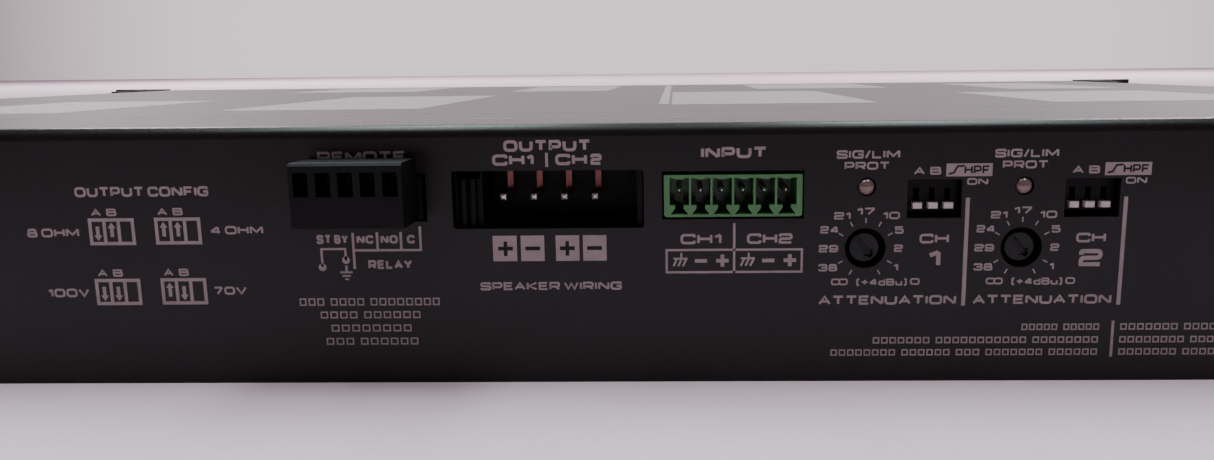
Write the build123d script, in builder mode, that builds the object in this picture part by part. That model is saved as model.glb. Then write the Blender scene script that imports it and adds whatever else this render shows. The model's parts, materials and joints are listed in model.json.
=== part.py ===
"""Two-channel installation power amplifier, one rack unit high.

Millimetres, +Z up.  The front panel faces -Y and the connector panel faces +Y.  The origin is
at the bottom centre of the whole unit.  Places on the connector panel are given as (u, v), with
u to the right of the body's middle as seen from behind and v above the base; places on the
front panel are (x, z) as seen from the front.
"""

import os

from build123d import *

# ---------------------------------------------------------------- driving dimensions
BODY_W = 432.0
BODY_H = 43.5
BODY_D = 300.0
SHEET = 1.2
BEND_R = 2.0
FIT_GAP = 0.1
FRONT_T = 4.0

EAR_SPAN = 482.6
EAR_H = 44.0
EAR_T = 2.5
EAR_LEG = 44.0
EAR_BEND_R = 3.0
SLOT_SPAN = 465.1
SLOT_RISE = 31.75
SLOT_L = 10.3
SLOT_W = 6.8

BUTTON_PROUD = 1.0
BUTTON_TRAVEL = 1.5
PLUG_PROUD = 8.5

BOARD_Z = 35.4
BOARD_T = 1.6
BOARD_W = 408.0
BOARD_L = 280.0

TERMINAL_PITCH = 3.5
TERMINAL_H = 6.9
TERMINAL_V = 31.65
TERMINAL_DEPTH = 9.2
CELL_DEPTH = 7.8
PIN_V = 32.4
PIN_SIDE = 0.8
PIN_TAPER = 0.36

INPUT_U = 37.3
INPUT_WAYS = 6
INPUT_PROUD = 0.3
REMOTE_U = -23.3
REMOTE_WAYS = 5
OUTPUT_U = 7.0
OUTPUT_WAYS = 4
OUTPUT_PITCH = 5.08

CHANNEL_PITCH = 25.4
CONTROL_U = 59.0
SELECTOR_U = 70.0
LAMP_V = 32.9
ATTENUATOR_V = 22.75
SELECTOR_V = 30.76
SELECTOR_CUT_V = 30.85
SELECTOR_PITCH = 2.54
SELECTOR_TRAVEL = 2.2

INLET_U = 175.0
INLET_V = 20.5

# ---------------------------------------------------------------- derived places
REAR_Y = (BODY_D + BUTTON_PROUD - PLUG_PROUD) / 2
FRONT_Y = REAR_Y - BODY_D
SHELL_L = BODY_D - FRONT_T
SHELL_MID_Y = REAR_Y - SHELL_L / 2
SHELL_FRONT_Y = REAR_Y - SHELL_L
BOARD_REAR_Y = REAR_Y - SHEET - 1.0
BOARD_MID_Y = BOARD_REAR_Y - BOARD_L / 2
BOARD_FRONT_Y = BOARD_REAR_Y - BOARD_L
STANDOFF_H = BODY_H - SHEET - BOARD_Z - BOARD_T

REAR = Plane(origin=(0, REAR_Y, 0), x_dir=(-1, 0, 0), z_dir=(0, 1, 0))
FRONT = Plane(origin=(0, FRONT_Y, 0), x_dir=(1, 0, 0), z_dir=(0, -1, 0))
SIDE = Plane(origin=(BODY_W / 2, 0, 0), x_dir=(0, 1, 0), z_dir=(1, 0, 0))

HANGING = (Align.CENTER, Align.CENTER, Align.MAX)
STANDING = (Align.CENTER, Align.CENTER, Align.MIN)

CHANNELS = (0.0, CHANNEL_PITCH)
HOLES_M3 = 1.6
SHANK_M3 = 1.5
HOLES_M4 = 2.1
SHANK_M4 = 2.0

COVER_SCREW_Z = 6.0
COVER_SCREW_Y = (-100.0, 10.0, 120.0)
EAR_SCREW_Y = FRONT_Y + 27.0
EAR_SCREW_Z = (15.0, 35.0)

VENT_L = 20.0
VENT_W = 3.0
VENT_PITCH = 7.0
VENT_COUNT = 24
VENT_Y = 18.0
VENT_Z = 24.0

REMOTE_CUT = (20.6, 8.2)
OUTPUT_CUT = (31.5, 9.6)
INPUT_CUT = (23.1, 8.0)
SELECTOR_CUT = (8.8, 6.3)
INLET_CUT = (27.4, 20.2)
CUT_V = 31.8
OUTPUT_CUT_V = 31.2
LAMP_HOLE_R = 1.54
ATTENUATOR_HOLE_R = 3.35
INLET_SCREW_U = 20.0

FLANGE_H = 12.0
FRONT_FLANGE_H = 40.0

BUTTON_X = 190.0
BUTTON_Z = 22.0
BUTTON_R = 6.0
INDICATOR_X = 150.0
INDICATOR_PITCH = 8.0
INDICATOR_COUNT = 4
INDICATOR_R = 1.45

# ---------------------------------------------------------------- chassis and covers
with BuildPart() as main_chassis:
    with BuildSketch():
        with Locations((0, SHELL_MID_Y)):
            Rectangle(BODY_W, SHELL_L)
    extrude(amount=BODY_H)
    roof_edges = faces().sort_by(Axis.Z)[-1].edges().sort_by(Axis.Y)[1:]
    rear_corners = edges().filter_by(Axis.Z).group_by(Axis.Y)[-1]
    fillet(roof_edges + rear_corners, BEND_R)
    with BuildSketch():
        with Locations((0, SHELL_MID_Y - SHEET)):
            Rectangle(BODY_W - 2 * SHEET, SHELL_L)
    extrude(amount=BODY_H - SHEET, mode=Mode.SUBTRACT)
    with BuildSketch(REAR):
        with Locations((REMOTE_U, CUT_V)):
            Rectangle(*REMOTE_CUT)
        with Locations((OUTPUT_U, OUTPUT_CUT_V)):
            RectangleRounded(*OUTPUT_CUT, 0.5)
        with Locations((INPUT_U, CUT_V)):
            Rectangle(*INPUT_CUT)
        for shift in CHANNELS:
            with Locations((CONTROL_U + shift, LAMP_V)):
                Circle(LAMP_HOLE_R)
            with Locations((CONTROL_U + shift, ATTENUATOR_V)):
                Circle(ATTENUATOR_HOLE_R)
            with Locations((SELECTOR_U + shift, SELECTOR_CUT_V)):
                Rectangle(*SELECTOR_CUT)
        with Locations((INLET_U, INLET_V)):
            Rectangle(*INLET_CUT)
            with Locations((-INLET_SCREW_U, 0), (INLET_SCREW_U, 0)):
                Circle(HOLES_M3)
    extrude(amount=-2 * SHEET, mode=Mode.SUBTRACT)
    with BuildSketch(SIDE):
        with Locations((VENT_Y, VENT_Z)):
            with GridLocations(VENT_PITCH, VENT_L, VENT_COUNT, 1):
                SlotOverall(VENT_L, VENT_W, rotation=90)
        for y in COVER_SCREW_Y:
            with Locations((y, COVER_SCREW_Z)):
                Circle(HOLES_M3)
        for z in EAR_SCREW_Z:
            with Locations((EAR_SCREW_Y, z)):
                Circle(HOLES_M4)
    extrude(amount=-BODY_W, mode=Mode.SUBTRACT)

COVER_W = BODY_W - 2 * (SHEET + FIT_GAP)
COVER_L = SHELL_L - SHEET - FIT_GAP
COVER_MID_Y = SHELL_FRONT_Y + COVER_L / 2

with BuildPart() as bottom_cover:
    with BuildSketch():
        with Locations((0, COVER_MID_Y)):
            Rectangle(COVER_W, COVER_L)
    extrude(amount=FLANGE_H)
    with BuildSketch(Plane.XY.offset(SHEET)):
        with Locations((0, COVER_MID_Y + SHEET)):
            Rectangle(COVER_W - 2 * SHEET, COVER_L)
    extrude(amount=FLANGE_H, mode=Mode.SUBTRACT)
    with BuildSketch(FRONT.offset(-FRONT_T)):
        with Locations((0, FRONT_FLANGE_H / 2)):
            Rectangle(COVER_W, FRONT_FLANGE_H)
    extrude(amount=-SHEET)
    with BuildSketch(FRONT.offset(-FRONT_T)):
        with Locations((BUTTON_X, BUTTON_Z)):
            Circle(BUTTON_R + 0.5)
        with Locations((INDICATOR_X, BUTTON_Z)):
            with GridLocations(INDICATOR_PITCH, 1, INDICATOR_COUNT, 1):
                Circle(INDICATOR_R + 0.3)
    extrude(amount=-2 * SHEET, mode=Mode.SUBTRACT)
    with BuildSketch(SIDE):
        for y in COVER_SCREW_Y:
            with Locations((y, COVER_SCREW_Z)):
                Circle(HOLES_M3)
    extrude(amount=-BODY_W, mode=Mode.SUBTRACT)

with BuildPart() as front_panel:
    with BuildSketch(FRONT):
        with Locations((0, BODY_H / 2)):
            RectangleRounded(BODY_W, BODY_H, 1.0)
    extrude(amount=-FRONT_T)
    fillet(faces().sort_by(Axis.Y)[0].edges(), 0.8)
    with BuildSketch(FRONT):
        with Locations((BUTTON_X, BUTTON_Z)):
            Circle(BUTTON_R + 0.2)
        with Locations((INDICATOR_X, BUTTON_Z)):
            with GridLocations(INDICATOR_PITCH, 1, INDICATOR_COUNT, 1):
                Circle(INDICATOR_R + 0.1)
    extrude(amount=-FRONT_T, mode=Mode.SUBTRACT)


def rack_ear(side):
    """Angle bracket: a slotted front leg and a leg screwed to the body's side."""
    reach = EAR_SPAN / 2 - BODY_W / 2
    with BuildPart() as ear:
        with BuildSketch():
            with Locations((side * (BODY_W / 2 + reach / 2), FRONT_Y + EAR_T / 2)):
                Rectangle(reach, EAR_T)
            with Locations((side * (BODY_W / 2 + EAR_T / 2), FRONT_Y + EAR_LEG / 2)):
                Rectangle(EAR_T, EAR_LEG)
        extrude(amount=EAR_H)
        upright = edges().filter_by(Axis.Z)
        bend = upright.sort_by_distance((side * (BODY_W / 2 + EAR_T), FRONT_Y + EAR_T, EAR_H / 2))[0]
        fillet(bend, EAR_BEND_R)
        with BuildSketch(FRONT):
            with Locations((side * SLOT_SPAN / 2, EAR_H / 2)):
                with GridLocations(1, SLOT_RISE, 1, 2):
                    SlotOverall(SLOT_L, SLOT_W)
        extrude(amount=-EAR_T, mode=Mode.SUBTRACT)
        with BuildSketch(Plane.YZ.offset(side * BODY_W / 2)):
            with Locations([(EAR_SCREW_Y, z) for z in EAR_SCREW_Z]):
                Circle(HOLES_M4)
        extrude(amount=side * EAR_T, mode=Mode.SUBTRACT)
    return ear


rack_ear_left = rack_ear(-1)
rack_ear_right = rack_ear(1)


def side_screws(places, seat_x, head_r, head_t, shank_r, shank_l):
    """Cross-recess screws through both side walls, heads outside at seat_x from the middle."""
    with BuildPart() as screws:
        for side in (-1, 1):
            seat = Plane(origin=(side * seat_x, 0, 0), x_dir=(0, side, 0), z_dir=(side, 0, 0))
            with BuildSketch(seat):
                with Locations([(side * y, z) for y, z in places]):
                    Circle(head_r)
            extrude(amount=head_t)
            with BuildSketch(seat):
                with Locations([(side * y, z) for y, z in places]):
                    Circle(shank_r)
            extrude(amount=-shank_l)
            with BuildSketch(seat.offset(head_t)):
                for y, z in places:
                    with Locations((side * y, z)):
                        Rectangle(head_r * 1.1, head_r * 0.3)
                        Rectangle(head_r * 0.3, head_r * 1.1)
            extrude(amount=-head_t * 0.6, mode=Mode.SUBTRACT)
    return screws


ear_screws = side_screws(
    [(EAR_SCREW_Y, z) for z in EAR_SCREW_Z], BODY_W / 2 + EAR_T, 3.8, 2.4, SHANK_M4, 9.0
)
cover_screws = side_screws(
    [(y, COVER_SCREW_Z) for y in COVER_SCREW_Y], BODY_W / 2, 2.8, 1.6, SHANK_M3, 6.0
)

# ---------------------------------------------------------------- main board and its fixings
STANDOFF_SPACING = (150.0, 125.0)
STANDOFF_AF = 5.5
BOARD_NOTCH = (33.0, 6.2)

with BuildPart() as main_board:
    with BuildSketch(Plane.XY.offset(BOARD_Z)):
        with Locations((0, BOARD_MID_Y)):
            Rectangle(BOARD_W, BOARD_L)
            with GridLocations(*STANDOFF_SPACING, 3, 3):
                Circle(HOLES_M3, mode=Mode.SUBTRACT)
        with Locations((-OUTPUT_U, BOARD_REAR_Y)):
            Rectangle(BOARD_NOTCH[0], 2 * BOARD_NOTCH[1], mode=Mode.SUBTRACT)
    extrude(amount=BOARD_T)

with BuildPart() as board_standoffs:
    with BuildSketch(Plane.XY.offset(BOARD_Z + BOARD_T)):
        with Locations((0, BOARD_MID_Y)):
            with GridLocations(*STANDOFF_SPACING, 3, 3):
                RegularPolygon(STANDOFF_AF / 2, 6, major_radius=False)
                Circle(SHANK_M3 - 0.2, mode=Mode.SUBTRACT)
    extrude(amount=STANDOFF_H)

with BuildPart() as board_screws:
    with BuildSketch(Plane.XY.offset(BOARD_Z)):
        with Locations((0, BOARD_MID_Y)):
            with GridLocations(*STANDOFF_SPACING, 3, 3):
                Circle(2.8)
    extrude(amount=-1.8)
    with BuildSketch(Plane.XY.offset(BOARD_Z)):
        with Locations((0, BOARD_MID_Y)):
            with GridLocations(*STANDOFF_SPACING, 3, 3):
                Circle(SHANK_M3 - 0.2)
    extrude(amount=BOARD_T + STANDOFF_H - 0.5)


# ---------------------------------------------------------------- terminals
def pin_row(centre_u, ways, pitch, side, tip_depth, leg_depth, pin_v):
    """Bent terminal pins: straight out towards the panel, and up to the board at the back."""
    with BuildPart() as pins:
        for index in range(ways):
            u = centre_u + (index - (ways - 1) / 2) * pitch
            with BuildSketch(REAR.offset(-tip_depth)):
                with Locations((u, pin_v)):
                    Rectangle(side, side)
            extrude(amount=-(leg_depth - tip_depth))
            with BuildSketch(REAR.offset(-leg_depth)):
                with Locations((u, (pin_v - side / 2 + BOARD_Z) / 2)):
                    Rectangle(side, BOARD_Z - pin_v + side / 2)
            extrude(amount=-side)
        tips = faces().filter_by(Axis.Y).group_by(Axis.Y)[-1]
        chamfer(tips.edges(), side * PIN_TAPER)
    return pins


NECK_W = 1.4
NECK_H = 0.55
KEY_H = 0.95
KEY_W = 2.85
CELL_W = 3.15
CELL_H = 4.44
CELL_TOP_V = TERMINAL_V + TERMINAL_H / 2 - 0.52
BULGE_W = 1.9
BULGE_H = 0.2
INPUT_W = INPUT_WAYS * TERMINAL_PITCH + 1.5

with BuildPart() as input_header:
    with BuildSketch(REAR.offset(INPUT_PROUD)):
        with Locations((INPUT_U, TERMINAL_V)):
            Rectangle(INPUT_W, TERMINAL_H)
    extrude(amount=-TERMINAL_DEPTH)
    lower_edges = edges().filter_by(Axis.Y).group_by(Axis.Z)[0]
    fillet(lower_edges, 0.5)
    with BuildSketch(REAR.offset(INPUT_PROUD)):
        for index in range(INPUT_WAYS):
            cell_u = INPUT_U + (index - (INPUT_WAYS - 1) / 2) * TERMINAL_PITCH
            key_v = CELL_TOP_V - CELL_H
            with BuildLine():
                Polyline(
                    (cell_u - CELL_W / 2, key_v),
                    (cell_u - CELL_W / 2, CELL_TOP_V),
                    (cell_u - BULGE_W / 2, CELL_TOP_V),
                    (cell_u - BULGE_W / 4, CELL_TOP_V - BULGE_H),
                    (cell_u + BULGE_W / 4, CELL_TOP_V - BULGE_H),
                    (cell_u + BULGE_W / 2, CELL_TOP_V),
                    (cell_u + CELL_W / 2, CELL_TOP_V),
                    (cell_u + CELL_W / 2, key_v),
                    (cell_u + NECK_W / 2, key_v),
                    (cell_u + NECK_W / 2, key_v - NECK_H),
                    (cell_u + KEY_W / 2, key_v - NECK_H - KEY_H),
                    (cell_u - KEY_W / 2, key_v - NECK_H - KEY_H),
                    (cell_u - NECK_W / 2, key_v - NECK_H),
                    (cell_u - NECK_W / 2, key_v),
                    close=True,
                )
            make_face()
    extrude(amount=-CELL_DEPTH, mode=Mode.SUBTRACT)
    with BuildSketch(REAR.offset(-CELL_DEPTH)):
        with Locations((INPUT_U, PIN_V)):
            with GridLocations(TERMINAL_PITCH, 1, INPUT_WAYS, 1):
                Rectangle(PIN_SIDE, PIN_SIDE)
    extrude(amount=-TERMINAL_DEPTH, both=True, mode=Mode.SUBTRACT)

input_pins = pin_row(INPUT_U, INPUT_WAYS, TERMINAL_PITCH, PIN_SIDE, 1.2, TERMINAL_DEPTH, PIN_V)

REMOTE_W = REMOTE_WAYS * TERMINAL_PITCH + 1.7
REMOTE_BAY = (REMOTE_W - 1.5, TERMINAL_H - 1.5)

with BuildPart() as remote_header:
    with BuildSketch(REAR):
        with Locations((REMOTE_U, TERMINAL_V)):
            Rectangle(REMOTE_W, TERMINAL_H)
    extrude(amount=-TERMINAL_DEPTH)
    with BuildSketch(REAR):
        with Locations((REMOTE_U, TERMINAL_V)):
            Rectangle(*REMOTE_BAY)
    extrude(amount=-CELL_DEPTH, mode=Mode.SUBTRACT)
    with BuildSketch(REAR.offset(-CELL_DEPTH)):
        with Locations((REMOTE_U, PIN_V)):
            with GridLocations(TERMINAL_PITCH, 1, REMOTE_WAYS, 1):
                Rectangle(PIN_SIDE, PIN_SIDE)
    extrude(amount=-TERMINAL_DEPTH, mode=Mode.SUBTRACT)

remote_pins = pin_row(REMOTE_U, REMOTE_WAYS, TERMINAL_PITCH, PIN_SIDE, 1.2, TERMINAL_DEPTH, PIN_V)

PLUG_W = 17.7
PLUG_BASE_V = 28.0
PLUG_TOP_V = 38.3
PLUG_H = PLUG_TOP_V - PLUG_BASE_V
PLUG_SEAT = 0.3
PLUG_TONGUE = (REMOTE_BAY[0] - 0.6, REMOTE_BAY[1] - 0.6)
TONGUE_L = 7.2
WIRE_HOLE = (2.35, 3.8)
WIRE_HOLE_V = 34.95
WIRE_HOLE_DEPTH = 6.0
CLAMP_SCREW_R = 1.25
CLAMP_SCREW_OUT = 3.6
CLAMP_SCREW_HOLE = 4.9
SOCKET_SIDE = PIN_SIDE + 0.16

with BuildPart() as remote_plug:
    with BuildSketch(REAR.offset(PLUG_SEAT)):
        with Locations((REMOTE_U, (PLUG_BASE_V + PLUG_TOP_V) / 2)):
            Rectangle(PLUG_W, PLUG_H)
    extrude(amount=PLUG_PROUD - PLUG_SEAT)
    chamfer(edges().filter_by(Axis.X).group_by(Axis.Y)[-1], 0.4)
    with BuildSketch(REAR.offset(PLUG_SEAT)):
        with Locations((REMOTE_U, TERMINAL_V)):
            Rectangle(*PLUG_TONGUE)
    extrude(amount=-TONGUE_L)
    with BuildSketch(REAR.offset(PLUG_PROUD)):
        with Locations((REMOTE_U, WIRE_HOLE_V)):
            with GridLocations(TERMINAL_PITCH, 1, REMOTE_WAYS, 1):
                Rectangle(*WIRE_HOLE)
    extrude(amount=-WIRE_HOLE_DEPTH, mode=Mode.SUBTRACT)
    with BuildSketch(Plane.XY.offset(PLUG_BASE_V)):
        with Locations((-REMOTE_U, REAR_Y + CLAMP_SCREW_OUT)):
            with GridLocations(TERMINAL_PITCH, 1, REMOTE_WAYS, 1):
                Circle(CLAMP_SCREW_R)
    extrude(amount=CLAMP_SCREW_HOLE, mode=Mode.SUBTRACT)
    with BuildSketch(REAR.offset(PLUG_SEAT - TONGUE_L)):
        with Locations((REMOTE_U, PIN_V)):
            with GridLocations(TERMINAL_PITCH, 1, REMOTE_WAYS, 1):
                Rectangle(SOCKET_SIDE, SOCKET_SIDE)
    extrude(amount=TONGUE_L, mode=Mode.SUBTRACT)

with BuildPart() as plug_screws:
    with BuildSketch(Plane.XY.offset(PLUG_BASE_V + 0.4)):
        with Locations((-REMOTE_U, REAR_Y + CLAMP_SCREW_OUT)):
            with GridLocations(TERMINAL_PITCH, 1, REMOTE_WAYS, 1):
                Circle(CLAMP_SCREW_R)
    extrude(amount=CLAMP_SCREW_HOLE - 0.5)
    with BuildSketch(Plane.XY.offset(PLUG_BASE_V + 0.4)):
        with Locations((-REMOTE_U, REAR_Y + CLAMP_SCREW_OUT)):
            with GridLocations(TERMINAL_PITCH, 1, REMOTE_WAYS, 1):
                Rectangle(0.4, 2.0)
    extrude(amount=0.6, mode=Mode.SUBTRACT)

with BuildPart() as plug_clamps:
    with BuildSketch(REAR.offset(PLUG_PROUD - WIRE_HOLE_DEPTH)):
        with Locations((REMOTE_U, WIRE_HOLE_V - 0.3)):
            with GridLocations(TERMINAL_PITCH, 1, REMOTE_WAYS, 1):
                Rectangle(WIRE_HOLE[0] - 0.2, WIRE_HOLE[1] - 0.8)
                Rectangle(WIRE_HOLE[0] - 0.9, WIRE_HOLE[1] - 1.6, mode=Mode.SUBTRACT)
    extrude(amount=1.6)

OUTPUT_W = 31.0
OUTPUT_INSET = 0.3
OUTPUT_FRONT_DEPTH = 8.1
OUTPUT_DEPTH = 11.8
OUTPUT_BASE_V = 25.2
OUTPUT_TOP_V = 37.4
OUTPUT_WALL = 1.0
OUTPUT_BAY_LEFT = -4.0
OUTPUT_BAY_RIGHT = 21.6
OUTPUT_BAY_DEPTH = 10.2
OUTPUT_PIN_V = 31.5
OUTPUT_PIN_SIDE = 1.0
OUTPUT_TIP = 1.2
FLANGE_TOP_V = 34.5
FLANGE_DEPTH = 2.2
RIB_R = 0.72
RIB_PLACES = (-7.3, -5.75)

with BuildPart() as output_header:
    bay_u = (OUTPUT_BAY_LEFT + OUTPUT_BAY_RIGHT) / 2
    bay_w = OUTPUT_BAY_RIGHT - OUTPUT_BAY_LEFT
    floor_v = OUTPUT_BASE_V + OUTPUT_WALL
    with BuildSketch(REAR.offset(-OUTPUT_INSET - SHEET)):
        with Locations((OUTPUT_U, (OUTPUT_BASE_V + OUTPUT_TOP_V) / 2)):
            Rectangle(OUTPUT_W, OUTPUT_TOP_V - OUTPUT_BASE_V)
    extrude(amount=-(OUTPUT_FRONT_DEPTH - OUTPUT_INSET - SHEET))
    with BuildSketch(REAR.offset(-OUTPUT_FRONT_DEPTH)):
        with Locations((OUTPUT_U, (OUTPUT_BASE_V + BOARD_Z) / 2)):
            Rectangle(OUTPUT_W, BOARD_Z - OUTPUT_BASE_V)
    extrude(amount=-(OUTPUT_DEPTH - OUTPUT_FRONT_DEPTH))
    with BuildSketch(REAR):
        with Locations((bay_u, (floor_v + OUTPUT_TOP_V - OUTPUT_WALL) / 2)):
            Rectangle(bay_w, OUTPUT_TOP_V - OUTPUT_WALL - floor_v)
    extrude(amount=-OUTPUT_FRONT_DEPTH, mode=Mode.SUBTRACT)
    with BuildSketch(REAR.offset(-OUTPUT_FRONT_DEPTH)):
        with Locations((bay_u, (floor_v + BOARD_Z) / 2)):
            Rectangle(bay_w, BOARD_Z - floor_v)
    extrude(amount=-(OUTPUT_BAY_DEPTH - OUTPUT_FRONT_DEPTH), mode=Mode.SUBTRACT)
    pocket_w = OUTPUT_BAY_LEFT - OUTPUT_U + OUTPUT_W / 2 - 0.6
    pocket_u = OUTPUT_BAY_LEFT - 0.3 - pocket_w / 2
    with BuildSketch(REAR):
        with Locations((pocket_u, (floor_v + OUTPUT_TOP_V - OUTPUT_WALL) / 2)):
            Rectangle(pocket_w, OUTPUT_TOP_V - OUTPUT_WALL - floor_v)
    extrude(amount=-(OUTPUT_FRONT_DEPTH - 1.0), mode=Mode.SUBTRACT)
    with BuildSketch(REAR.offset(-FLANGE_DEPTH)):
        with Locations((pocket_u, (floor_v + FLANGE_TOP_V) / 2)):
            Rectangle(pocket_w, FLANGE_TOP_V - floor_v)
    extrude(amount=-(OUTPUT_FRONT_DEPTH - FLANGE_DEPTH))
    for rib_u in RIB_PLACES:
        with Locations((-rib_u, REAR_Y - FLANGE_DEPTH, (floor_v + FLANGE_TOP_V) / 2)):
            Cylinder(RIB_R, FLANGE_TOP_V - floor_v)

output_pins = pin_row(
    OUTPUT_U,
    OUTPUT_WAYS,
    OUTPUT_PITCH,
    OUTPUT_PIN_SIDE,
    OUTPUT_TIP,
    OUTPUT_BAY_DEPTH - OUTPUT_PIN_SIDE,
    OUTPUT_PIN_V,
)

# ---------------------------------------------------------------- channel controls
LAMP_R = 1.5
LAMP_PROUD = 0.5
LAMP_HOLDER_DEPTH = 3.0

with BuildPart() as status_lamps:
    for shift in CHANNELS:
        with BuildSketch(REAR.offset(LAMP_PROUD - LAMP_R)):
            with Locations((CONTROL_U + shift, LAMP_V)):
                Circle(LAMP_R)
        extrude(amount=-LAMP_HOLDER_DEPTH)
        with Locations((-CONTROL_U - shift, REAR_Y + LAMP_PROUD - LAMP_R, LAMP_V)):
            Sphere(LAMP_R)

with BuildPart() as lamp_holders:
    for shift in CHANNELS:
        with BuildSketch(REAR.offset(LAMP_PROUD - LAMP_R - LAMP_HOLDER_DEPTH)):
            with Locations((CONTROL_U + shift, LAMP_V + 0.2)):
                Rectangle(4.2, 2 * (BOARD_Z - LAMP_V - 0.2))
        extrude(amount=-LAMP_HOLDER_DEPTH)

ATTENUATOR_FACE = 3.6
ATTENUATOR_SIZE = (9.8, 10.4, 6.0)
ROTOR_R = 2.5
ROTOR_CLEAR = 0.06
ROTOR_POCKET = 3.0
ROTOR_FACE = 0.9
SLOT_ANGLE = -50.0

with BuildPart() as attenuator_bodies:
    for shift in CHANNELS:
        with BuildSketch(REAR.offset(-ATTENUATOR_FACE)):
            with Locations((CONTROL_U + shift, ATTENUATOR_V)):
                RectangleRounded(ATTENUATOR_SIZE[0], ATTENUATOR_SIZE[1], 1.0)
        extrude(amount=-ATTENUATOR_SIZE[2])
        leg_base = ATTENUATOR_V + ATTENUATOR_SIZE[1] / 2
        with BuildSketch(REAR.offset(0.8 - ATTENUATOR_FACE - ATTENUATOR_SIZE[2])):
            with Locations((CONTROL_U + shift, (leg_base + BOARD_Z) / 2)):
                with GridLocations(2.5, 1, 3, 1):
                    Rectangle(0.8, BOARD_Z - leg_base)
        extrude(amount=-0.5)
        with BuildSketch(REAR.offset(-ATTENUATOR_FACE)):
            with Locations((CONTROL_U + shift, ATTENUATOR_V)):
                Circle(ROTOR_R + ROTOR_CLEAR)
        extrude(amount=-ROTOR_POCKET, mode=Mode.SUBTRACT)


def attenuator_rotor(shift):
    """Slotted rotor: its arrow points a little short of full level."""
    rotor_l = ATTENUATOR_FACE + ROTOR_POCKET - ROTOR_CLEAR - ROTOR_FACE
    with BuildPart() as rotor:
        with BuildSketch(REAR.offset(-ROTOR_FACE)):
            with Locations((CONTROL_U + shift, ATTENUATOR_V)):
                Circle(ROTOR_R)
        extrude(amount=-rotor_l)
        fillet(faces().sort_by(Axis.Y)[-1].edges(), 0.25)
        with BuildSketch(REAR.offset(-ROTOR_FACE)):
            with Locations(Location((CONTROL_U + shift, ATTENUATOR_V), SLOT_ANGLE)):
                Rectangle(3.9, 0.95)
                with Locations((1.35, 0)):
                    Triangle(a=2.0, b=1.5, c=1.5, rotation=-90)
        extrude(amount=-0.8, mode=Mode.SUBTRACT)
    return rotor


attenuator_rotor_ch1 = attenuator_rotor(CHANNELS[0])
attenuator_rotor_ch2 = attenuator_rotor(CHANNELS[1])

SELECTOR_FACE = 1.9
SELECTOR_SIZE = (8.6, 5.1, 5.0)
SELECTOR_BODY_V = 31.15
TRACK_W = 0.9
TRACK_DEPTH = 2.6
SLIDER = (1.56, 1.06)
STEM_W = 0.8
SLIDER_PROUD = 1.2
SLIDER_CLEAR = 0.05
TRACK_H = SLIDER[1] + SELECTOR_TRAVEL + 2 * SLIDER_CLEAR
SLIDER_V = SELECTOR_V - SELECTOR_TRAVEL / 2

with BuildPart() as selector_bodies:
    for shift in CHANNELS:
        with BuildSketch(REAR.offset(-SELECTOR_FACE)):
            with Locations((SELECTOR_U + shift, SELECTOR_BODY_V)):
                Rectangle(SELECTOR_SIZE[0], SELECTOR_SIZE[1])
        extrude(amount=-SELECTOR_SIZE[2])
        with BuildSketch(REAR.offset(-SELECTOR_FACE)):
            with Locations((SELECTOR_U + shift, SELECTOR_V)):
                with GridLocations(SELECTOR_PITCH, 1, 3, 1):
                    Rectangle(TRACK_W, TRACK_H)
        extrude(amount=-TRACK_DEPTH, mode=Mode.SUBTRACT)
        leg_base = SELECTOR_BODY_V + SELECTOR_SIZE[1] / 2
        with BuildSketch(REAR.offset(-SELECTOR_FACE - TRACK_DEPTH - 0.8)):
            with Locations((SELECTOR_U + shift, (leg_base + BOARD_Z) / 2)):
                with GridLocations(SELECTOR_PITCH, 1, 3, 1):
                    Rectangle(0.6, BOARD_Z - leg_base)
        extrude(amount=-0.4)


def selector_slider(shift, position):
    """White actuator of one selector way, at the lower end of its track."""
    with BuildPart() as slider:
        with BuildSketch(REAR.offset(SLIDER_PROUD - SELECTOR_FACE)):
            with Locations((SELECTOR_U + shift + position * SELECTOR_PITCH, SLIDER_V)):
                Rectangle(*SLIDER)
        extrude(amount=-(SLIDER_PROUD - SLIDER_CLEAR))
        fillet(faces().sort_by(Axis.Y)[-1].edges(), 0.15)
        with BuildSketch(REAR.offset(-SLIDER_CLEAR - SELECTOR_FACE + SLIDER_CLEAR * 2)):
            with Locations((SELECTOR_U + shift + position * SELECTOR_PITCH, SLIDER_V)):
                Rectangle(STEM_W, SLIDER[1])
        extrude(amount=-(TRACK_DEPTH - SLIDER_CLEAR))
    return slider


selector_sliders = {
    f"selector_ch{channel + 1}_{way}": selector_slider(CHANNELS[channel], position)
    for channel in (0, 1)
    for way, position in (("a", -1), ("b", 0), ("filter", 1))
}

# ---------------------------------------------------------------- mains inlet and fuse
INLET_PROUD = 2.8
INLET_BODY = (27.0, 19.8)
INLET_DEPTH = 20.0
INLET_BAY = (24.2, 16.4)
INLET_BAY_DEPTH = 16.5
BLADE = (2.0, 4.0)
BLADE_L = 14.0

with BuildPart() as mains_inlet:
    with BuildSketch(REAR):
        with Locations((INLET_U, INLET_V)):
            RectangleRounded(50.0, 25.0, 5.0)
            with Locations((-INLET_SCREW_U, 0), (INLET_SCREW_U, 0)):
                Circle(HOLES_M3, mode=Mode.SUBTRACT)
    extrude(amount=INLET_PROUD)
    with BuildSketch(REAR):
        with Locations((INLET_U, INLET_V)):
            Rectangle(*INLET_BODY)
    extrude(amount=-INLET_DEPTH)
    with BuildSketch(REAR.offset(INLET_PROUD)):
        with Locations((INLET_U, INLET_V)):
            Rectangle(*INLET_BAY)
        bay_corners = vertices().group_by(Axis.Z)[-1]
        chamfer(bay_corners, 3.5)
    extrude(amount=-INLET_BAY_DEPTH, mode=Mode.SUBTRACT)

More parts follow.
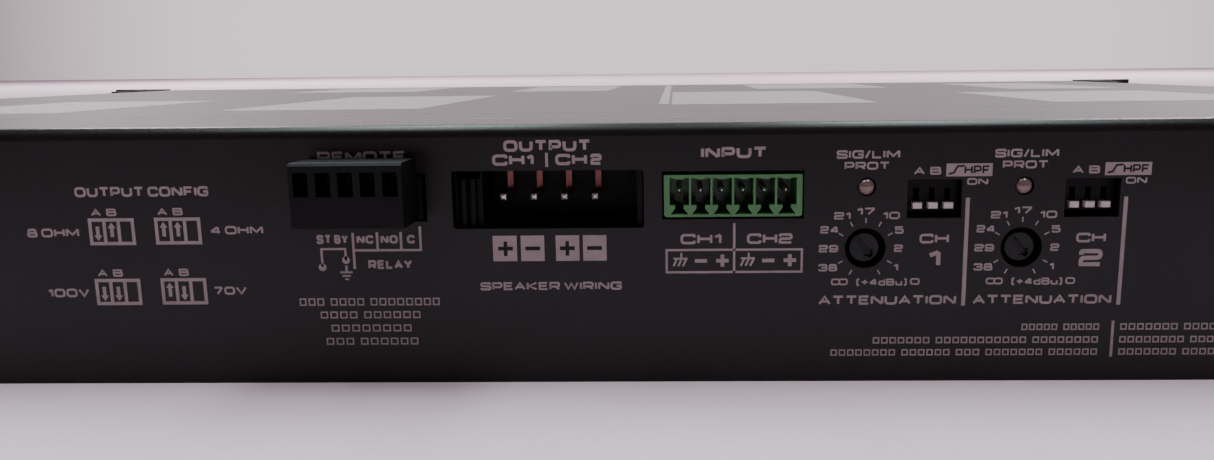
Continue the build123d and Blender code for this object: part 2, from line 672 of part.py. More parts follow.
with BuildPart() as inlet_contacts:
    with BuildSketch(REAR.offset(INLET_PROUD - INLET_BAY_DEPTH)):
        with Locations((INLET_U - 7, INLET_V - 2), (INLET_U, INLET_V + 2), (INLET_U + 7, INLET_V - 2)):
            Rectangle(*BLADE)
    extrude(amount=BLADE_L)
    tail_base = INLET_V + INLET_BODY[1] / 2
    with BuildSketch(REAR.offset(-INLET_DEPTH + 3.0)):
        with Locations((INLET_U, (tail_base + BOARD_Z) / 2)):
            with GridLocations(7, 1, 3, 1):
                Rectangle(1.6, BOARD_Z - tail_base)
    extrude(amount=-0.8)

with BuildPart() as inlet_screws:
    with BuildSketch(REAR.offset(INLET_PROUD)):
        with Locations((INLET_U - INLET_SCREW_U, INLET_V), (INLET_U + INLET_SCREW_U, INLET_V)):
            Circle(2.8)
    extrude(amount=1.6)
    with BuildSketch(REAR.offset(INLET_PROUD)):
        with Locations((INLET_U - INLET_SCREW_U, INLET_V), (INLET_U + INLET_SCREW_U, INLET_V)):
            Circle(SHANK_M3)
    extrude(amount=-8.0)
    with BuildSketch(REAR.offset(INLET_PROUD + 1.6)):
        for u in (INLET_U - INLET_SCREW_U, INLET_U + INLET_SCREW_U):
            with Locations((u, INLET_V)):
                Rectangle(3.0, 0.8)
                Rectangle(0.8, 3.0)
    extrude(amount=-1.0, mode=Mode.SUBTRACT)

FUSE_X = -140.0
FUSE_Y = 112.0
FUSE_L = 20.0
FUSE_R = 2.6
FUSE_Z = BOARD_Z - 6.0

with BuildPart() as mains_fuse:
    with Locations((FUSE_X, FUSE_Y, FUSE_Z)):
        Cylinder(FUSE_R, FUSE_L, rotation=(0, 90, 0))

with BuildPart() as fuse_clips:
    with Locations((FUSE_X, FUSE_Y, BOARD_Z)):
        with GridLocations(FUSE_L - 5.0, 1, 2, 1):
            Box(4.0, 2 * FUSE_R + 2.0, 7.4, align=HANGING)
    with Locations((FUSE_X, FUSE_Y, FUSE_Z)):
        Cylinder(FUSE_R, FUSE_L + 2.0, rotation=(0, 90, 0), mode=Mode.SUBTRACT)

# ---------------------------------------------------------------- supply parts under the board
with BuildPart() as filter_choke:
    with Locations((-176, 96, BOARD_Z)):
        Box(26, 26, 4, align=HANGING)
    with Locations((-176, 96, BOARD_Z - 14.5)):
        Torus(9.0, 4.6, rotation=(90, 0, 0))
    with Locations((-176, 96, BOARD_Z - 2)):
        Cylinder(2.0, 4)

with BuildPart() as suppression_capacitors:
    with Locations((-176, 62, BOARD_Z), (-146, 62, BOARD_Z)):
        Box(18, 9, 15, align=HANGING)
    fillet(edges().filter_by(Axis.Z), 1.0)

with BuildPart() as bridge_rectifier:
    with Locations((-150, 30, BOARD_Z)):
        Box(24, 4.5, 20, align=HANGING)
    chamfer(edges().filter_by(Axis.Y).group_by(Axis.Z)[0].sort_by(Axis.X)[0], 3.0)

with BuildPart() as bulk_capacitors:
    with Locations((-120, 5, BOARD_Z)):
        with GridLocations(25, 25, 2, 2):
            Cylinder(11.0, 31.0, align=HANGING)
    fillet(edges().group_by(Axis.Z)[0], 1.2)

TRANSFORMER = (-62.0, 10.0)

with BuildPart() as transformer_core:
    with Locations((*TRANSFORMER, BOARD_Z - 1.5)):
        Box(42, 22, 30, align=HANGING)
    with Locations((*TRANSFORMER, BOARD_Z - 16.5)):
        with GridLocations(22, 1, 2, 1):
            Box(10, 22, 19, mode=Mode.SUBTRACT)

with BuildPart() as transformer_winding:
    with BuildSketch(Plane.XY.offset(BOARD_Z - 16.5)):
        with Locations(TRANSFORMER):
            RectangleRounded(31, 36, 5)
            Rectangle(12.2, 22.4, mode=Mode.SUBTRACT)
    extrude(amount=9.2, both=True)


def finned_heatsink(centre_x, side):
    """Extruded aluminium spreader hung under the board, fins towards the nearer side wall."""
    length = 130.0
    height = 28.0
    with BuildPart() as heatsink:
        with Locations((centre_x, -35, BOARD_Z)):
            Box(3, length, height, align=HANGING)
        with Locations((centre_x + side * 6.5, -35, BOARD_Z - height)):
            with GridLocations(1, 8.0, 1, 16):
                Box(10, 1.4, height, align=STANDING)
    return heatsink


supply_heatsink = finned_heatsink(-178.0, -1)
output_heatsink = finned_heatsink(160.0, 1)

with BuildPart() as power_transistors:
    for x, faces_side in ((-178.0, 1), (160.0, -1)):
        with Locations((x + faces_side * 4.0, -35, BOARD_Z - 4)):
            with GridLocations(1, 30, 1, 4):
                Box(4.9, 15.8, 20.0, align=HANGING)

with BuildPart() as output_inductors:
    with Locations((95, 40, BOARD_Z)):
        with GridLocations(30, 30, 2, 2):
            Cylinder(11.0, 16.0, align=HANGING)
    fillet(edges().group_by(Axis.Z)[0], 2.0)

with BuildPart() as output_capacitors:
    with Locations((50, 40, BOARD_Z)):
        with GridLocations(1, 16, 1, 4):
            Box(26, 8, 16, align=HANGING)
    fillet(edges().filter_by(Axis.Z), 0.8)

with BuildPart() as output_relays:
    with Locations((-25, 95, BOARD_Z), (15, 95, BOARD_Z)):
        Box(29, 13, 16, align=HANGING)
    fillet(edges().filter_by(Axis.Z), 0.6)

with BuildPart() as remote_relay:
    with Locations((60, 112, BOARD_Z)):
        Box(20, 10, 10.5, align=HANGING)
    fillet(edges().filter_by(Axis.Z), 0.5)

with BuildPart() as control_chips:
    with Locations((-70, 105, BOARD_Z), (-95, 105, BOARD_Z), (-95, 80, BOARD_Z), (110, -20, BOARD_Z)):
        Box(10, 10, 1.6, align=HANGING)

# ---------------------------------------------------------------- front board and power button
FRONT_BOARD_DEPTH = 12.2
BUTTON_BACK = 4.2
PLUNGER_R = 2.0
PLUNGER_END = 9.2
SWITCH_DEPTH = 6.0
FRONT_BOARD_X = 168.0

with BuildPart() as front_board:
    with BuildSketch(FRONT.offset(-FRONT_BOARD_DEPTH)):
        with Locations((FRONT_BOARD_X, BUTTON_Z - 1.0)):
            Rectangle(70, 26)
    extrude(amount=-BOARD_T)

with BuildPart() as board_link:
    link_y = (FRONT_Y + FRONT_BOARD_DEPTH + BOARD_T + BOARD_FRONT_Y + 3.0) / 2
    link_l = BOARD_FRONT_Y + 3.0 - FRONT_Y - FRONT_BOARD_DEPTH - BOARD_T
    with Locations((FRONT_BOARD_X - 8, link_y, BOARD_Z - 2.5)):
        Box(20, link_l, 2.5, align=STANDING)

with BuildPart() as front_indicators:
    with BuildSketch(FRONT.offset(-FRONT_BOARD_DEPTH)):
        with Locations((INDICATOR_X, BUTTON_Z)):
            with GridLocations(INDICATOR_PITCH, 1, INDICATOR_COUNT, 1):
                Circle(INDICATOR_R)
    extrude(amount=FRONT_BOARD_DEPTH + 0.4)
    fillet(faces().group_by(Axis.Y)[0].edges(), 0.4)

with BuildPart() as power_switch:
    with BuildSketch(FRONT.offset(-FRONT_BOARD_DEPTH)):
        with Locations((BUTTON_X, BUTTON_Z)):
            Rectangle(12, 12)
            Circle(PLUNGER_R + 0.08, mode=Mode.SUBTRACT)
    extrude(amount=SWITCH_DEPTH - 1.0)

with BuildPart() as power_button:
    with BuildSketch(FRONT.offset(BUTTON_PROUD)):
        with Locations((BUTTON_X, BUTTON_Z)):
            Circle(BUTTON_R)
    extrude(amount=-(BUTTON_PROUD + BUTTON_BACK))
    fillet(faces().sort_by(Axis.Y)[0].edges(), 0.6)
    with BuildSketch(FRONT.offset(-BUTTON_BACK)):
        with Locations((BUTTON_X, BUTTON_Z)):
            Circle(PLUNGER_R)
    extrude(amount=-(PLUNGER_END - BUTTON_BACK))

# ---------------------------------------------------------------- labels and files
pieces = {
    "main_chassis": main_chassis,
    "bottom_cover": bottom_cover,
    "front_panel": front_panel,
    "rack_ear_left": rack_ear_left,
    "rack_ear_right": rack_ear_right,
    "ear_screws": ear_screws,
    "cover_screws": cover_screws,
    "main_board": main_board,
    "board_standoffs": board_standoffs,
    "board_screws": board_screws,
    "input_header": input_header,
    "input_pins": input_pins,
    "remote_header": remote_header,
    "remote_pins": remote_pins,
    "remote_plug": remote_plug,
    "plug_screws": plug_screws,
    "plug_clamps": plug_clamps,
    "output_header": output_header,
    "output_pins": output_pins,
    "status_lamps": status_lamps,
    "lamp_holders": lamp_holders,
    "attenuator_bodies": attenuator_bodies,
    "attenuator_rotor_ch1": attenuator_rotor_ch1,
    "attenuator_rotor_ch2": attenuator_rotor_ch2,
    "selector_bodies": selector_bodies,
    **selector_sliders,
    "mains_inlet": mains_inlet,
    "inlet_contacts": inlet_contacts,
    "inlet_screws": inlet_screws,
    "mains_fuse": mains_fuse,
    "fuse_clips": fuse_clips,
    "filter_choke": filter_choke,
    "suppression_capacitors": suppression_capacitors,
    "bridge_rectifier": bridge_rectifier,
    "bulk_capacitors": bulk_capacitors,
    "transformer_core": transformer_core,
    "transformer_winding": transformer_winding,
    "supply_heatsink": supply_heatsink,
    "output_heatsink": output_heatsink,
    "power_transistors": power_transistors,
    "output_inductors": output_inductors,
    "output_capacitors": output_capacitors,
    "output_relays": output_relays,
    "remote_relay": remote_relay,
    "control_chips": control_chips,
    "front_board": front_board,
    "board_link": board_link,
    "front_indicators": front_indicators,
    "power_switch": power_switch,
    "power_button": power_button,
}

os.makedirs("parts", exist_ok=True)
for label, piece in pieces.items():
    piece.part.label = label
    export_step(piece.part, f"parts/{label}.step")
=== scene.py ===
"""Looks for the two-channel rack power amplifier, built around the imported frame."""

import json
import math
import random

import bmesh
import bpy
from mathutils import Matrix, Vector


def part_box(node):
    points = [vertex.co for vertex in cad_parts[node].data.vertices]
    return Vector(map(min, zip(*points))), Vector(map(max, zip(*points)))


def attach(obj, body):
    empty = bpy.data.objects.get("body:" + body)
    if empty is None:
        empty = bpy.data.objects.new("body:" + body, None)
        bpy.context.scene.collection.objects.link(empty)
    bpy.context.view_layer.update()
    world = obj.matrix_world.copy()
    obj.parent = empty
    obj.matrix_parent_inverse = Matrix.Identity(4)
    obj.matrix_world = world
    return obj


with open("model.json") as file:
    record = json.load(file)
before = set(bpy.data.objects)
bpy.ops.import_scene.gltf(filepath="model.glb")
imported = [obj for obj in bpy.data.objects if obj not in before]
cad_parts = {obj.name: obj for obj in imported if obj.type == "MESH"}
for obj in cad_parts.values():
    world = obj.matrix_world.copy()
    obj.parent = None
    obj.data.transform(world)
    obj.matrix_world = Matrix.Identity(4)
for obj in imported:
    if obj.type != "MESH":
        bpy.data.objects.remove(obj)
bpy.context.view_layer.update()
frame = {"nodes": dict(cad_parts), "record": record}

BODY = "amplifier"
MM = 0.001
NODES = frame["nodes"]
CHASSIS_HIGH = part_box("main_chassis")[1]
REAR_Y = CHASSIS_HIGH.y
TOP_Z = CHASSIS_HIGH.z
FRONT_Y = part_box("front_panel")[0].y

# ---------------------------------------------------------------- camera
FOCAL_MM = 27.67
SENSOR_MM = 36.0
SHIFT = (-0.0393, -0.0026)
CAMERA_U = 27.962
CAMERA_V = 52.664
CAMERA_BACK = 151.044
YAW, PITCH, ROLL = (math.radians(a) for a in (1.3201, -9.8017, 0.6248))


def viewer_to_cad(v):
    """Seen from behind (right, up, away) to the part's own axes."""
    return Vector((-v[0], -v[2], v[1]))


turn = (
    Matrix.Rotation(ROLL, 3, "Z") @ Matrix.Rotation(PITCH, 3, "X") @ Matrix.Rotation(YAW, 3, "Y")
)
right, up, ahead = (viewer_to_cad(turn[i]) for i in range(3))
pose = Matrix((right, up, -ahead)).transposed().to_4x4()
pose.translation = Vector((-CAMERA_U * MM, REAR_Y + CAMERA_BACK * MM, CAMERA_V * MM))
camera_data = bpy.data.cameras.new("camera")
camera_data.sensor_width = SENSOR_MM
camera_data.lens = FOCAL_MM
camera_data.shift_x, camera_data.shift_y = SHIFT
camera_data.clip_start = 0.01
camera_data.clip_end = 50.0
camera = bpy.data.objects.new("camera", camera_data)
camera.matrix_world = pose
bpy.context.scene.collection.objects.link(camera)
bpy.context.scene.camera = camera


# ---------------------------------------------------------------- light and floor
def area_light(name, place, aim, size, power, colour):
    data = bpy.data.lights.new(name, "AREA")
    data.shape = "RECTANGLE"
    data.size, data.size_y = size
    data.energy = power
    data.color = colour
    lamp = bpy.data.objects.new(name, data)
    lamp.location = place
    lamp.rotation_mode = "QUATERNION"
    lamp.rotation_quaternion = (Vector(aim) - Vector(place)).to_track_quat("-Z", "Y")
    bpy.context.scene.collection.objects.link(lamp)
    return lamp


CEILING_TINT = (0.86, 1.0, 0.99)
CEILING_SIZE = (0.28, 1.2)
CEILING_Y = -0.22
CEILING_Z = 1.0
CEILING_WATTS = 13.0


def ceiling_light(name, x):
    """A soft light overhead, to one side of the case, aimed straight down."""
    place, aim = (x, CEILING_Y, CEILING_Z), (x, CEILING_Y, 0.0)
    area_light(name, place, aim, CEILING_SIZE, CEILING_WATTS, CEILING_TINT)


ceiling_light("ceiling_left", 0.29)
area_light("front_fill", (0.0, 0.45, 1.1), (0.0, 0.25, 0.0), (1.2, 0.5), 2.2, (1.0, 0.74, 0.84))
ceiling_light("ceiling_right", -0.34)

# Two far lights brighten the floor behind the object.
FAR_PLACE = (2.0, -3.0, 2.0)
FAR_AIM = (0.7, -4.2, 0.0)
FAR_SIZE = (0.9, 0.9)
FAR_WATTS = 130.0
FAR_TINT = (1.0, 0.92, 0.95)
for side, side_name in ((1, "left"), (-1, "right")):
    place = (side * FAR_PLACE[0], *FAR_PLACE[1:])
    aim = (side * FAR_AIM[0], *FAR_AIM[1:])
    area_light(f"far_{side_name}", place, aim, FAR_SIZE, FAR_WATTS, FAR_TINT)

# The wall behind the object fades to the darker room over this span of directions.
WALL = (1.16, 0.98, 1.06, 1.0)
ROOM = (0.085, 0.06, 0.068, 1.0)
WALL_END = -0.92
ROOM_START = -0.72

world = bpy.data.worlds.new("studio")
bpy.context.scene.world = world
world.use_nodes = True
world_nodes = world.node_tree.nodes
world_links = world.node_tree.links
direction = world_nodes.new("ShaderNodeTexCoord")
split = world_nodes.new("ShaderNodeSeparateXYZ")
spread = world_nodes.new("ShaderNodeMapRange")
spread.interpolation_type = "SMOOTHSTEP"
spread.inputs["From Min"].default_value = WALL_END
spread.inputs["From Max"].default_value = ROOM_START
mixer = world_nodes.new("ShaderNodeMix")
mixer.data_type = "RGBA"
mixer.inputs["A"].default_value = WALL
mixer.inputs["B"].default_value = ROOM
world_links.new(direction.outputs["Generated"], split.inputs[0])
world_links.new(split.outputs["Y"], spread.inputs["Value"])
world_links.new(spread.outputs["Result"], mixer.inputs["Factor"])
world_links.new(mixer.outputs["Result"], world_nodes["Background"].inputs["Color"])

floor_mesh = bpy.data.meshes.new("floor")
FLOOR = 6.0
floor_mesh.from_pydata(
    [(-FLOOR, -FLOOR, 0), (FLOOR, -FLOOR, 0), (FLOOR, FLOOR, 0), (-FLOOR, FLOOR, 0)],
    [],
    [(0, 1, 2, 3)],
)
floor = bpy.data.objects.new("floor", floor_mesh)
bpy.context.scene.collection.objects.link(floor)


# ---------------------------------------------------------------- materials
def tree(name):
    """A new material with a principled shader and object coordinates."""
    mat = bpy.data.materials.new(name)
    mat.use_nodes = True
    nodes, links = mat.node_tree.nodes, mat.node_tree.links
    shader = nodes["Principled BSDF"]
    coords = nodes.new("ShaderNodeTexCoord")
    return mat, nodes, links, shader, coords.outputs["Object"]


def noise(nodes, links, coords, scale, detail=2.0, stretch=None):
    """Noise in metres; stretch scales each axis."""
    texture = nodes.new("ShaderNodeTexNoise")
    texture.inputs["Scale"].default_value = scale
    texture.inputs["Detail"].default_value = detail
    if stretch:
        mapping = nodes.new("ShaderNodeMapping")
        mapping.inputs["Scale"].default_value = stretch
        links.new(coords, mapping.inputs["Vector"])
        coords = mapping.outputs["Vector"]
    links.new(coords, texture.inputs["Vector"])
    return texture.outputs["Fac"]


def spread_to(nodes, links, source, low, high, start=0.3, end=0.7):
    """A value between low and high as the source goes from start to end."""
    node = nodes.new("ShaderNodeMapRange")
    node.inputs["From Min"].default_value = start
    node.inputs["From Max"].default_value = end
    node.inputs["To Min"].default_value = low
    node.inputs["To Max"].default_value = high
    links.new(source, node.inputs["Value"])
    return node.outputs["Result"]


def blend_colours(nodes, links, factor, first, second):
    node = nodes.new("ShaderNodeMix")
    node.data_type = "RGBA"
    node.inputs["A"].default_value = (*first, 1.0)
    node.inputs["B"].default_value = (*second, 1.0)
    links.new(factor, node.inputs["Factor"])
    return node.outputs["Result"]


def add_bump(nodes, links, shader, height, distance, strength=1.0):
    node = nodes.new("ShaderNodeBump")
    node.inputs["Distance"].default_value = distance
    node.inputs["Strength"].default_value = strength
    links.new(height, node.inputs["Height"])
    links.new(node.outputs["Normal"], shader.inputs["Normal"])
    return node


def surface(
    name,
    first,
    second,
    rough,
    metallic=0.0,
    patch=120.0,
    grain=3000.0,
    depth=0.00001,
    stretch=None,
    coat=0.0,
    specular=0.5,
):
    """General finish: broad colour drift, fine grain in roughness and relief."""
    mat, nodes, links, shader, coords = tree(name)
    broad = noise(nodes, links, coords, patch, 4.0, stretch)
    fine = noise(nodes, links, coords, grain, 3.0, stretch)
    factor = spread_to(nodes, links, broad, 0.0, 1.0)
    links.new(blend_colours(nodes, links, factor, first, second), shader.inputs["Base Color"])
    links.new(spread_to(nodes, links, fine, *rough), shader.inputs["Roughness"])
    shader.inputs["Metallic"].default_value = metallic
    shader.inputs["Coat Weight"].default_value = coat
    shader.inputs["Specular IOR Level"].default_value = specular
    add_bump(nodes, links, shader, fine, depth)
    return mat


def powder_coat(name, first, second, rough, depth, specular=0.21):
    """Fine orange-peel paint with tiny lighter specks."""
    mat, nodes, links, shader, coords = tree(name)
    broad = noise(nodes, links, coords, 45.0, 4.0)
    peel = noise(nodes, links, coords, 2600.0, 2.0)
    cells = nodes.new("ShaderNodeTexVoronoi")
    cells.inputs["Scale"].default_value = 2200.0
    links.new(coords, cells.inputs["Vector"])
    speck = spread_to(nodes, links, cells.outputs["Distance"], 1.0, 0.0, 0.04, 0.16)
    base = blend_colours(nodes, links, spread_to(nodes, links, broad, 0.0, 1.0), first, second)
    light = nodes.new("ShaderNodeMix")
    light.data_type = "RGBA"
    light.blend_type = "ADD"
    light.inputs["B"].default_value = (0.012, 0.012, 0.013, 1.0)
    links.new(speck, light.inputs["Factor"])
    links.new(base, light.inputs["A"])
    links.new(light.outputs["Result"], shader.inputs["Base Color"])
    links.new(spread_to(nodes, links, peel, *rough), shader.inputs["Roughness"])
    shader.inputs["Specular IOR Level"].default_value = specular
    add_bump(nodes, links, shader, peel, depth)
    return mat


def wound(name, wire, gap_shade, pitch, axis):
    """Turns of enamelled wire: bright rounds with painted shade in the gaps between them."""
    mat, nodes, links, shader, coords = tree(name)
    wave = nodes.new("ShaderNodeTexWave")
    wave.bands_direction = axis
    wave.inputs["Scale"].default_value = 1.0 / pitch / 3.18
    wave.inputs["Distortion"].default_value = 1.2
    wave.inputs["Detail"].default_value = 1.0
    links.new(coords, wave.inputs["Vector"])
    # Wave bands: wire colour on the rounds, painted shade in the grooves between turns.
    factor = spread_to(nodes, links, wave.outputs["Fac"], 0.0, 1.0, 0.1, 0.6)
    links.new(blend_colours(nodes, links, factor, gap_shade, wire), shader.inputs["Base Color"])
    shader.inputs["Metallic"].default_value = 0.7
    shader.inputs["Roughness"].default_value = 0.33
    add_bump(nodes, links, shader, wave.outputs["Fac"], 0.0002)
    return mat


def board(name):
    """Solder mask over tracks: two greens, with fine straight runs."""
    mat, nodes, links, shader, coords = tree(name)
    bricks = nodes.new("ShaderNodeTexBrick")
    bricks.inputs["Scale"].default_value = 90.0
    bricks.inputs["Mortar Size"].default_value = 0.03
    bricks.inputs["Color1"].default_value = (0.012, 0.1, 0.04, 1.0)
    bricks.inputs["Color2"].default_value = (0.02, 0.15, 0.06, 1.0)
    bricks.inputs["Mortar"].default_value = (0.03, 0.2, 0.09, 1.0)
    links.new(coords, bricks.inputs["Vector"])
    links.new(bricks.outputs["Color"], shader.inputs["Base Color"])
    fine = noise(nodes, links, coords, 1500.0)
    links.new(spread_to(nodes, links, fine, 0.25, 0.45), shader.inputs["Roughness"])
    add_bump(nodes, links, shader, bricks.outputs["Fac"], 0.00003)
    return mat


def lens(name, first, second, weight, glow=0.0):
    """Diffusing lamp plastic: soft inside, glossy outside."""
    mat, nodes, links, shader, coords = tree(name)
    broad = noise(nodes, links, coords, 900.0, 2.0)
    fine = noise(nodes, links, coords, 5000.0, 2.0)
    factor = spread_to(nodes, links, broad, 0.0, 1.0)
    links.new(blend_colours(nodes, links, factor, first, second), shader.inputs["Base Color"])
    links.new(spread_to(nodes, links, fine, 0.12, 0.22), shader.inputs["Roughness"])
    shader.inputs["Subsurface Weight"].default_value = weight
    shader.inputs["Subsurface Scale"].default_value = 0.0008
    shader.inputs["Coat Weight"].default_value = 0.6
    add_bump(nodes, links, shader, fine, 0.000002)
    return mat


# Span in front of the rear face over which the painted tip highlight fades in, in metres.
GLINT_START = 0.00165
GLINT_END = 0.0014


def bent_pin(name, leg, tip):
    """Copper leg whose colour turns bright at the tip: a painted highlight for the glint on the
    pin's end.
    """
    mat, nodes, links, shader, coords = tree(name)
    place = nodes.new("ShaderNodeSeparateXYZ")
    links.new(coords, place.inputs[0])
    # Painted tip highlight: 0 along the leg, 1 at the pin's end nearest the rear face.
    tip_glint_mask = spread_to(
        nodes, links, place.outputs["Y"], 0.0, 1.0, REAR_Y - GLINT_START, REAR_Y - GLINT_END
    )
    drift = noise(nodes, links, coords, 700.0, 3.0)
    worn = tuple(c * 0.7 for c in leg)
    base = blend_colours(nodes, links, spread_to(nodes, links, drift, 0.0, 1.0), worn, leg)
    mixed = nodes.new("ShaderNodeMix")
    mixed.data_type = "RGBA"
    mixed.inputs["B"].default_value = (*tip, 1.0)
    links.new(tip_glint_mask, mixed.inputs["Factor"])
    links.new(base, mixed.inputs["A"])
    links.new(mixed.outputs["Result"], shader.inputs["Base Color"])
    links.new(spread_to(nodes, links, drift, 0.26, 0.42), shader.inputs["Roughness"])
    shader.inputs["Metallic"].default_value = 0.9
    add_bump(nodes, links, shader, drift, 0.000004)
    return mat


FINISHES = {
    "powder_coat": powder_coat(
        "mat_powder_coat", (0.0075, 0.007, 0.0074), (0.0105, 0.0098, 0.0103), (0.27, 0.38), 0.000012
    ),
    "anodised_black": powder_coat(
        "mat_front", (0.011, 0.011, 0.012), (0.016, 0.016, 0.017), (0.34, 0.46), 0.000008
    ),
    "black_screw": surface(
        "mat_black_screw", (0.012, 0.012, 0.013), (0.03, 0.03, 0.03), (0.25, 0.45), 0.6
    ),
    "zinc_steel": surface(
        "mat_zinc", (0.56, 0.57, 0.58), (0.68, 0.68, 0.66), (0.22, 0.4), 1.0, depth=0.000006
    ),
    "circuit_board": board("mat_board"),
    "green_plastic": surface(
        "mat_green",
        (0.036, 0.15, 0.042),
        (0.045, 0.19, 0.052),
        (0.3, 0.42),
        patch=300.0,
        depth=0.000004,
        coat=0.1,
    ),
    "tinned_pin": surface(
        "mat_tin", (0.5, 0.49, 0.47), (0.62, 0.6, 0.57), (0.28, 0.42), 1.0, depth=0.000003
    ),
    "black_plastic": surface(
        "mat_black_plastic",
        (0.0028, 0.0028, 0.003),
        (0.0045, 0.0045, 0.0048),
        (0.42, 0.58),
        patch=200.0,
        grain=4200.0,
        depth=0.000012,
        specular=0.14,
    ),
    # The second colour is a painted highlight for the bright tip of each pin.
    "copper_pin": bent_pin("mat_copper_pin", (0.22, 0.09, 0.078), (0.72, 0.7, 0.68)),
    "lamp_lens": lens("mat_lamp_lens", (0.13, 0.085, 0.078), (0.17, 0.11, 0.1), 0.25),
    "dark_plastic": surface(
        "mat_dark_plastic",
        (0.004, 0.004, 0.0045),
        (0.007, 0.007, 0.0078),
        (0.45, 0.6),
        grain=4500.0,
        depth=0.00001,
        specular=0.2,
    ),
    "rotor_plastic": surface(
        "mat_rotor",
        (0.008, 0.0088, 0.0095),
        (0.012, 0.0128, 0.014),
        (0.34, 0.48),
        specular=0.25,
        patch=500.0,
        grain=5200.0,
        depth=0.000008,
    ),
    "white_plastic": surface(
        "mat_white_plastic",
        (0.5, 0.45, 0.43),
        (0.56, 0.51, 0.49),
        (0.3, 0.42),
        patch=600.0,
        depth=0.000004,
    ),
    "fuse_ceramic": surface("mat_ceramic", (0.74, 0.71, 0.64), (0.84, 0.82, 0.76), (0.4, 0.6)),
    # The second colour is painted shade for the grooves between turns.
    "choke_winding": wound("mat_choke", (0.75, 0.3, 0.12), (0.1, 0.03, 0.015), 0.0011, "X"),
    "yellow_plastic": surface("mat_yellow", (0.7, 0.47, 0.04), (0.78, 0.55, 0.07), (0.3, 0.45)),
    "capacitor_sleeve": surface(
        "mat_sleeve", (0.016, 0.018, 0.04), (0.024, 0.026, 0.055), (0.2, 0.35), coat=0.3
    ),
    "ferrite": surface("mat_ferrite", (0.03, 0.03, 0.032), (0.06, 0.06, 0.06), (0.5, 0.75)),
    "winding_tape": surface(
        "mat_tape", (0.72, 0.5, 0.06), (0.8, 0.6, 0.12), (0.18, 0.3), stretch=(1, 1, 12)
    ),
    "bare_aluminium": surface(
        "mat_aluminium",
        (0.7, 0.71, 0.72),
        (0.8, 0.8, 0.81),
        (0.25, 0.42),
        1.0,
        stretch=(1, 0.05, 1),
    ),
    "red_film": surface("mat_film", (0.36, 0.035, 0.02), (0.45, 0.06, 0.03), (0.22, 0.35)),
    "relay_case": surface("mat_relay", (0.05, 0.055, 0.07), (0.07, 0.075, 0.09), (0.28, 0.4)),
    "indicator_lens": lens("mat_indicator", (0.35, 0.6, 0.4), (0.42, 0.7, 0.48), 0.3),
    "button_plastic": surface(
        "mat_button", (0.018, 0.018, 0.02), (0.026, 0.026, 0.028), (0.22, 0.34), coat=0.2
    ),
}
for part in frame["record"]["subparts"]:
    node = NODES[part["node"]]
    node.data.materials.clear()
    node.data.materials.append(FINISHES[part["material_slot"]])

PRINT = surface(
    "mat_print",
    (0.26, 0.21, 0.215),
    (0.31, 0.25, 0.255),
    (0.45, 0.6),
    patch=350.0,
    grain=4000.0,
    depth=0.000006,
    specular=0.3,
)
KNOCKOUT = surface(
    "mat_knockout",
    (0.006, 0.0055, 0.006),
    (0.009, 0.0085, 0.009),
    (0.4, 0.55),
    patch=350.0,
    grain=4000.0,
    depth=0.000006,
    specular=0.2,
)
floor_mesh.materials.append(
    surface(
        "mat_floor",
        (0.78, 0.6, 0.69),
        (0.82, 0.65, 0.74),
        (0.6, 0.8),
        patch=30.0,
        grain=900.0,
        depth=0.0001,
    )
)

# ---------------------------------------------------------------- panel lettering
INK = 0.03
INK_OVER = 0.055

